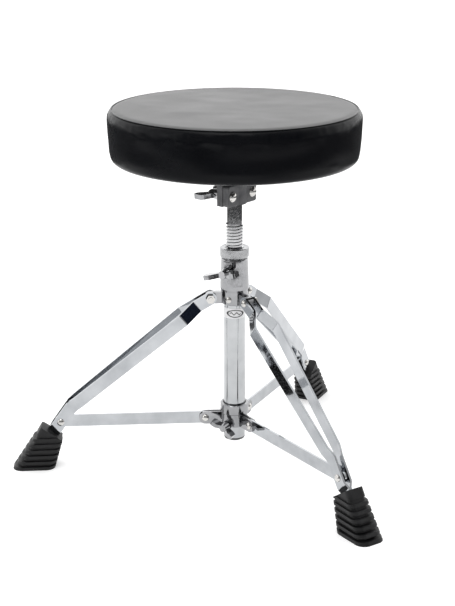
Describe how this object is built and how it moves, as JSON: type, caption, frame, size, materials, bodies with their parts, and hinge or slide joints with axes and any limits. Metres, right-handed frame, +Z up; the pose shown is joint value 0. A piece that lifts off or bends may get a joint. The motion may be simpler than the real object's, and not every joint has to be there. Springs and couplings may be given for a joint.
{
  "type": "drum throne",
  "caption": "Folding drum throne: round black padded seat on a screw-threaded rod, chromed tube with clamp and wing bolts, and tripod legs of twin flat bars on ribbed rubber feet.",
  "frame": {"origin": "middle of the throne's footprint on the floor", "axes": "+Z up along the tube; -X towards the left leg, -Y towards the viewer's side"},
  "size_m": [0.4366, 0.5004, 0.458],
  "materials": {
    "vinyl": "black vinyl, soft sheen",
    "foam": "open-cell foam",
    "plywood": "raw plywood",
    "dust_cloth": "non-woven cloth",
    "zinc": "zinc plated",
    "cast_dark": "satin dark grey",
    "bright_steel": "polished",
    "cast_chrome": "chromed casting, satin",
    "leg_chrome": "chromed flat bar",
    "nylon": "black nylon",
    "end_plug": "moulded",
    "label": "plain printed band",
    "foot_rubber": "matte black rubber"
  },
  "bodies": {
    "base": {"base_tube": "bright_steel", "tube_end_plug": "end_plug", "tube_label": "label", "top_sleeve": "cast_chrome", "sleeve_rivet": "bright_steel", "collar_nut": "bright_steel"},
    "hub": {"hub_bracket": "cast_chrome", "hub_liner": "nylon", "hub_rivets": "bright_steel"},
    "rod_guide": {"rod_guide_bush": "nylon"},
    "rod": {"threaded_rod": "bright_steel"},
    "seat": {"seat_top_panel": "vinyl", "seat_side_band": "vinyl", "seat_piping": "vinyl", "seat_foam": "foam", "seat_board": "plywood", "dust_cover": "dust_cloth", "cover_staples": "zinc", "board_t_nuts": "zinc", "bracket_washers": "zinc", "bracket_screws": "zinc", "seat_bracket": "cast_dark", "clamp_cap": "cast_dark", "clamp_bolts": "bright_steel", "clamp_hex_washer": "zinc", "clamp_hex_nut": "zinc"},
    "sleeve_lock_pad": {"sleeve_pad": "nylon"},
    "sleeve_lock_bolt": {"sleeve_wing_bolt": "cast_chrome"},
    "hub_lock_pad": {"hub_pad": "nylon"},
    "hub_lock_bolt": {"hub_wing_bolt": "cast_chrome"},
    "clamp_lock_washer": {"clamp_wing_washer": "zinc"},
    "clamp_lock_nut": {"clamp_wing_nut": "cast_chrome"},
    "brace_left": {"leg_left_brace": "leg_chrome"},
    "leg_left": {"leg_left_bar_a": "leg_chrome", "leg_left_bar_b": "leg_chrome", "leg_left_pivot_bolt": "bright_steel", "leg_left_rivet": "bright_steel", "leg_left_spacers": "nylon", "leg_left_foot": "foot_rubber"},
    "brace_front": {"leg_front_brace": "leg_chrome"},
    "leg_front": {"leg_front_bar_a": "leg_chrome", "leg_front_bar_b": "leg_chrome", "leg_front_pivot_bolt": "bright_steel", "leg_front_rivet": "bright_steel", "leg_front_spacers": "nylon", "leg_front_foot": "foot_rubber"},
    "brace_rear": {"leg_rear_brace": "leg_chrome"},
    "leg_rear": {"leg_rear_bar_a": "leg_chrome", "leg_rear_bar_b": "leg_chrome", "leg_rear_pivot_bolt": "bright_steel", "leg_rear_rivet": "bright_steel", "leg_rear_spacers": "nylon", "leg_rear_foot": "foot_rubber"}
  },
  "joints": [
    {"name": "hub_slide", "type": "slide", "parent": "base", "child": "hub", "axis": [0, 0, 1], "range_m": [0, 0.09539]},
    {"name": "brace_left_hub_pivot", "type": "hinge", "parent": "hub", "child": "brace_left", "pos_m": [0.0278, 0, 0.0603], "axis": [0, -1, 0], "range_deg": [0, 85.54]},
    {"name": "leg_left_brace_pivot", "type": "hinge", "parent": "brace_left", "child": "leg_left", "pos_m": [-0.156, 0, 0.0603], "axis": [0, 1, 0], "range_deg": [0, 40.54]},
    {"name": "brace_front_hub_pivot", "type": "hinge", "parent": "hub", "child": "brace_front", "pos_m": [0.0836, -0.03222, 0.0603], "axis": [0.866, 0.5, 0], "range_deg": [0, 85.54]},
    {"name": "leg_front_brace_pivot", "type": "hinge", "parent": "brace_front", "child": "leg_front", "pos_m": [0.1755, -0.19139, 0.0603], "axis": [-0.866, -0.5, 0], "range_deg": [0, 40.54]},
    {"name": "brace_rear_hub_pivot", "type": "hinge", "parent": "hub", "child": "brace_rear", "pos_m": [0.0836, 0.03222, 0.0603], "axis": [-0.866, 0.5, 0], "range_deg": [0, 85.54]},
    {"name": "leg_rear_brace_pivot", "type": "hinge", "parent": "brace_rear", "child": "leg_rear", "pos_m": [0.1755, 0.19139, 0.0603], "axis": [0.866, -0.5, 0], "range_deg": [0, 40.54]},
    {"name": "seat_turn", "type": "hinge", "parent": "rod_guide", "child": "rod", "pos_m": [0.065, 0, 0.25], "axis": [0, 0, 1], "range_deg": [-2880, 7200]},
    {"name": "seat_lift", "type": "slide", "parent": "base", "child": "rod_guide", "axis": [0, 0, 1], "range_m": [-0.03201, 0.08001]},
    {"name": "seat_liftoff", "type": "slide", "parent": "rod", "child": "seat", "axis": [0, 0, 1], "range_m": [0, 0.06]},
    {"name": "sleeve_lock_travel", "type": "slide", "parent": "base", "child": "sleeve_lock_pad", "axis": [-0.5, -0.866, 0], "range_m": [0, 0.0025]},
    {"name": "sleeve_lock_turn", "type": "hinge", "parent": "sleeve_lock_pad", "child": "sleeve_lock_bolt", "pos_m": [0.052, -0.02252, 0.258], "axis": [-0.5, -0.866, 0], "range_deg": [0, 720]},
    {"name": "hub_lock_travel", "type": "slide", "parent": "hub", "child": "hub_lock_pad", "axis": [-0.5, -0.866, 0], "range_m": [0, 0.0025]},
    {"name": "hub_lock_turn", "type": "hinge", "parent": "hub_lock_pad", "child": "hub_lock_bolt", "pos_m": [0.052, -0.02252, 0.0555], "axis": [-0.5, -0.866, 0], "range_deg": [0, 720]},
    {"name": "clamp_lock_travel", "type": "slide", "parent": "seat", "child": "clamp_lock_washer", "axis": [-0.7254, 0.6884, 0], "range_m": [0, 0.0025]},
    {"name": "clamp_lock_turn", "type": "hinge", "parent": "clamp_lock_washer", "child": "clamp_lock_nut", "pos_m": [0.04699, -0.0091, 0.3534], "axis": [-0.7254, 0.6884, 0], "range_deg": [0, 720]}
  ],
  "couplings": [
    {"joint": "brace_left_hub_pivot", "follows": "hub_slide", "rad_per_m": 15.641},
    {"joint": "leg_left_brace_pivot", "follows": "hub_slide", "rad_per_m": 7.4079},
    {"joint": "brace_front_hub_pivot", "follows": "hub_slide", "rad_per_m": 15.641},
    {"joint": "leg_front_brace_pivot", "follows": "hub_slide", "rad_per_m": 7.4079},
    {"joint": "brace_rear_hub_pivot", "follows": "hub_slide", "rad_per_m": 15.641},
    {"joint": "leg_rear_brace_pivot", "follows": "hub_slide", "rad_per_m": 7.4079},
    {"joint": "seat_lift", "follows": "seat_turn", "m_per_rad": 0.00063662},
    {"joint": "sleeve_lock_travel", "follows": "sleeve_lock_turn", "m_per_rad": 0.00019894},
    {"joint": "hub_lock_travel", "follows": "hub_lock_turn", "m_per_rad": 0.00019894},
    {"joint": "clamp_lock_travel", "follows": "clamp_lock_turn", "m_per_rad": 0.00019894}
  ]
}
